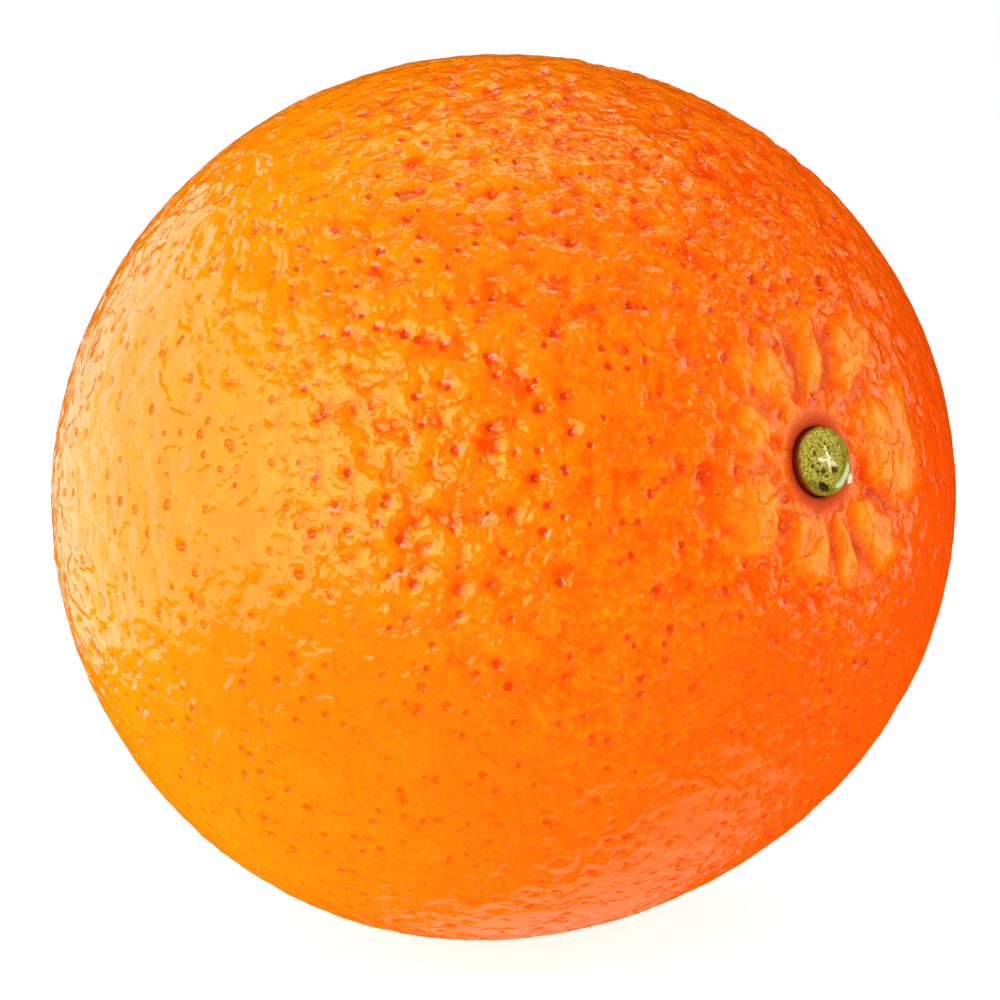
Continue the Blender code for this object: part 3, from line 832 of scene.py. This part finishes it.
def peel_material():
    n = Nodes("peel_wax")
    place = n.add("ShaderNodeTexCoord").outputs["Object"]
    rough = n.attribute("rough")
    strength = n.attribute("pit_strength")
    distance = n.attribute("pit_distance")

    warp = n.vector("SUBTRACT", n.noise(place, 900.0, output="Color"), (0.5, 0.5, 0.5))
    bent = n.vector("MULTIPLY", warp, (PEBBLE_WARP, PEBBLE_WARP, PEBBLE_WARP))
    cell = n.cells(n.vector("ADD", place, bent), 440.0)
    pebbles = n.noise(place, 560.0)
    fine = n.noise(place, 1900.0, 3.0, 0.6)
    torn = n.math("SUBTRACT", n.noise(place, 2500.0), 0.5)
    ragged = n.math("MULTIPLY_ADD", torn, 0.9, distance)
    # painted shade: red in the pits' cores, strongest in strong pits
    pit_shade = n.math("MULTIPLY", n.ramp(ragged, 1.15, 0.45), n.ramp(strength, 0.1, 0.8, 0.25, 1.0))
    n.put(n.shader.inputs["Base Color"], peel_color(n, place, pebbles, cell, fine, pit_shade))

    gloss = n.ramp(n.noise(place, 900.0), 0.3, 0.7, 0.07, 0.12)
    gloss = n.math("MULTIPLY_ADD", n.attribute("lobe"), 0.08, gloss)
    dull = n.math("ADD", n.attribute("moat_and_furrow_shade"), n.attribute("style_scar"))
    n.put(n.shader.inputs["Roughness"], n.math("MULTIPLY_ADD", dull, 0.85, gloss))

    # Flat-topped pebbles with fine grain on them, then the walls of the pits
    dome = n.math("MULTIPLY", cell, n.math("MULTIPLY", cell, -0.8))
    relief = n.math("MULTIPLY_ADD", n.ramp(pebbles, 0.30, 0.55), 0.66, dome)
    relief = n.math("MULTIPLY_ADD", fine, 0.26, relief)
    relief = n.math("MULTIPLY", relief, n.ramp(rough, 0.1, 0.9, SMOOTH_BUMP, 1.0))
    normal = n.bump(relief, PEBBLE_BUMP)
    wall = n.math("MULTIPLY", n.ramp(ragged, 0.5, 1.3), n.ramp(strength, 0.1, 0.9))
    n.put(n.shader.inputs["Normal"], n.bump(wall, PIT_WALL_BUMP, normal))

    # An oily ring round each strong pit
    wet = n.math("MULTIPLY", n.ramp(distance, 0.6, 0.9), n.ramp(distance, 1.5, 1.2))
    wet = n.math("MULTIPLY", wet, n.ramp(rough, 0.35, 0.8))
    n.put(n.shader.inputs["Coat Weight"], n.math("MULTIPLY", wet, n.ramp(strength, 0.2, 0.55)))
    n.shader.inputs["Coat IOR"].default_value = 1.9
    n.shader.inputs["Coat Roughness"].default_value = 0.10
    n.shader.inputs["Specular IOR Level"].default_value = 0.95
    n.shader.inputs["Specular Tint"].default_value = (1.0, 0.95, 0.32, 1.0)
    n.shader.inputs["Subsurface Weight"].default_value = 0.10
    n.shader.inputs["Subsurface Radius"].default_value = (1.0, 0.35, 0.08)
    n.shader.inputs["Subsurface Scale"].default_value = 1.5 * MM
    return n.material


def button_material():
    n = Nodes("button_cork")
    place = n.add("ShaderNodeTexCoord").outputs["Object"]
    grain = n.noise(place, 6500.0, 2.0, 0.6)
    shake = n.math("SUBTRACT", grain, 0.5)

    def marked(name, shaking, low, high, most=1.0):
        """Where that mark lies, with its edge made ragged by the grain."""
        return n.ramp(n.math("MULTIPLY_ADD", shake, shaking, n.attribute(name)), low, high, 0.0, most)

    rim = n.mix(n.ramp(n.noise(place, 1500.0), 0.35, 0.65), (0.130, 0.112, 0.002), (0.24, 0.20, 0.005))
    cork = n.mix(n.ramp(grain, 0.36, 0.62), (0.17, 0.142, 0.005), (0.45, 0.38, 0.035))
    cork = n.mix(n.ramp(n.noise(place, 9000.0, 1.0), 0.60, 0.72, 0.0, 0.8), cork, (0.60, 0.58, 0.22))
    cork = n.mix(n.ramp(n.noise(place, 5000.0, 1.0), 0.40, 0.30, 0.0, 0.8), cork, (0.11, 0.070, 0.005))
    color = n.mix(marked("scar", 0.8, 0.35, 0.65), rim, cork)
    color = n.mix(marked("star", 2.6, 0.20, 0.95), color, (0.68, 0.65, 0.38))
    color = n.mix(marked("lip", 0.7, 0.30, 0.75), color, (0.44, 0.53, 0.28))
    # painted shade: the notch and the gap outside the lip made nearly black
    color = n.mix(n.ramp(n.attribute("notch"), 0.25, 0.70), color, (0.030, 0.014, 0.001))
    color = n.mix(marked("pit", 1.3, 0.30, 0.80, 0.9), color, (0.080, 0.040, 0.003))
    # painted shade on the button's side
    color = n.mix(n.attribute("low"), color, (0.13, 0.011, 0.001))
    color = n.mix(n.ramp(n.attribute("flake"), 0.3, 0.6), color, (0.70, 0.66, 0.45))
    n.put(n.shader.inputs["Base Color"], color)
    n.put(n.shader.inputs["Roughness"], n.ramp(n.attribute("scar"), 0.2, 0.8, 0.42, 0.8))
    n.put(n.shader.inputs["Normal"], n.bump(grain, 0.03 * MM))
    n.shader.inputs["Specular IOR Level"].default_value = 0.25
    n.shader.inputs["Specular Tint"].default_value = (1.0, 1.0, 0.3, 1.0)
    return n.material


def floor_material():
    n = Nodes("floor_paint")
    place = n.add("ShaderNodeTexCoord").outputs["Object"]
    pale = (FLOOR_PAINT, FLOOR_PAINT, FLOOR_PAINT)
    darker = tuple(0.97 * part for part in pale)
    n.put(n.shader.inputs["Base Color"], n.mix(n.noise(place, 60.0), pale, darker))
    n.shader.inputs["Roughness"].default_value = 0.8
    n.shader.inputs["Specular IOR Level"].default_value = 0.0
    n.shader.inputs["Emission Color"].default_value = WHITE
    n.shader.inputs["Emission Strength"].default_value = FLOOR_GLOW
    return n.material


# ---------------------------------------------------------------- studio

WHITE = (1.0, 1.0, 1.0, 1.0)
AZIMUTH = math.radians(50.8)
ELEVATION = math.radians(8.0)
DISTANCE = 0.245
LENS = 100.0
SENSOR = 36.0
MIDDLE_OFFSET = (0.0015, 0.0017)    # of the fruit's middle from the picture's, as shares of its width
WORLD_LIGHT = 0.40
BACKDROP = 1.0
WORLD_GLOSS = 0.55                  # in reflections the world is a warm dim room round the soft boxes
WORLD_GLOSS_COLOR = (0.95, 0.13, 0.006, 1.0)
FLOOR_HALF = 12.0
FLOOR_PAINT = 0.6
FLOOR_GLOW = 0.80                   # a light table
# Soft boxes: degrees to the right of and above the camera's direction, then distance, width and height in
# metres, and radiance
LIGHTS = {
    "soft_left_near": (-36.0, 4.0, 0.50, 0.25, 0.38, 2.8),
    "soft_left_middle": (-58.0, 5.0, 0.50, 0.13, 0.44, 1.9),
    "soft_left_far": (-107.0, 8.0, 0.50, 0.88, 0.54, 1.25),
    "soft_right": (90.0, 10.0, 0.50, 0.38, 0.46, 1.2),
    "strip_top": (0.0, 96.0, 0.55, 0.56, 0.15, 2.2),
    "soft_front": (10.0, 52.0, 0.54, 0.60, 0.50, 2.0),
    "table_glow": (-36.0, -120.0, 0.11, 0.13, 0.055, 0.34),
    "table_fill": (-12.0, -110.0, 0.32, 0.50, 0.40, 6.5),
}
FILLS = ("soft_front", "table_fill")  # these don't show in reflections

RIGHT = Vector((math.cos(AZIMUTH), math.sin(AZIMUTH), 0.0))
BACK = Vector((
    math.sin(AZIMUTH) * math.cos(ELEVATION),
    -math.cos(AZIMUTH) * math.cos(ELEVATION),
    math.sin(ELEVATION),
))
UP = BACK.cross(RIGHT)


def make_camera():
    data = bpy.data.cameras.new("camera")
    data.lens = LENS
    data.sensor_width = SENSOR
    data.clip_start = 0.01
    camera = bpy.data.objects.new("camera", data)
    bpy.context.scene.collection.objects.link(camera)
    width = DISTANCE * SENSOR / LENS
    place = MIDDLE + DISTANCE * BACK - MIDDLE_OFFSET[0] * width * RIGHT - MIDDLE_OFFSET[1] * width * UP
    turn = Matrix((RIGHT, UP, BACK)).transposed().to_4x4()
    camera.matrix_world = Matrix.Translation(place) @ turn
    bpy.context.scene.camera = camera


def make_light(name, aside_deg, over_deg, away, width, height, radiance):
    """Area light that faces the fruit, placed by its angles to the right of and above the camera."""
    aside = math.radians(aside_deg)
    over = math.radians(over_deg)
    data = bpy.data.lights.new(name, "AREA")
    data.shape = "RECTANGLE"
    data.size = width
    data.size_y = height
    data.energy = radiance * math.pi * width * height
    light = bpy.data.objects.new(name, data)
    bpy.context.scene.collection.objects.link(light)
    level = math.cos(aside) * BACK + math.sin(aside) * RIGHT
    place = MIDDLE + away * (math.cos(over) * level + math.sin(over) * UP)
    turn = (place - MIDDLE).to_track_quat("Z", "Y").to_matrix().to_4x4()
    light.matrix_world = Matrix.Translation(place) @ turn
    return light


def make_world():
    """Even white light from all round, a white backdrop, and a warm dim room for the reflections."""
    world = bpy.data.worlds.new("studio")
    world.use_nodes = True
    tree = world.node_tree
    light = tree.nodes["Background"]
    light.inputs["Color"].default_value = WHITE
    light.inputs["Strength"].default_value = WORLD_LIGHT
    path = tree.nodes.new("ShaderNodeLightPath")
    shown = light.outputs[0]
    for ray, color, strength in (
        ("Is Camera Ray", WHITE, BACKDROP),
        ("Is Glossy Ray", WORLD_GLOSS_COLOR, WORLD_GLOSS),
    ):
        other = tree.nodes.new("ShaderNodeBackground")
        other.inputs["Color"].default_value = color
        other.inputs["Strength"].default_value = strength
        either = tree.nodes.new("ShaderNodeMixShader")
        tree.links.new(path.outputs[ray], either.inputs[0])
        tree.links.new(shown, either.inputs[1])
        tree.links.new(other.outputs[0], either.inputs[2])
        shown = either.outputs[0]
    tree.links.new(shown, tree.nodes["World Output"].inputs["Surface"])
    bpy.context.scene.world = world


def make_floor():
    mesh = bpy.data.meshes.new("floor")
    corners = [(x * FLOOR_HALF, y * FLOOR_HALF, 0.0) for x, y in ((-1, -1), (1, -1), (1, 1), (-1, 1))]
    mesh.from_pydata(corners, [], [(0, 1, 2, 3)])
    mesh.materials.append(floor_material())
    floor = bpy.data.objects.new("floor", mesh)
    floor.visible_glossy = False
    floor.visible_shadow = False
    bpy.context.scene.collection.objects.link(floor)


def make_studio():
    make_floor()
    make_world()
    for name, measures in LIGHTS.items():
        light = make_light(name, *measures)
        light.visible_glossy = name not in FILLS
    bpy.context.scene.view_settings.view_transform = "Standard"
    make_camera()


# ---------------------------------------------------------------- assembly

def main():
    peel = make_peel()
    peel.data.materials.append(peel_material())
    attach(peel, "root")
    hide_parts("fruit")
    button = make_button()
    button.data.materials.append(button_material())
    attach(button, "root")
    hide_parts("stem_button")
    make_studio()


main()
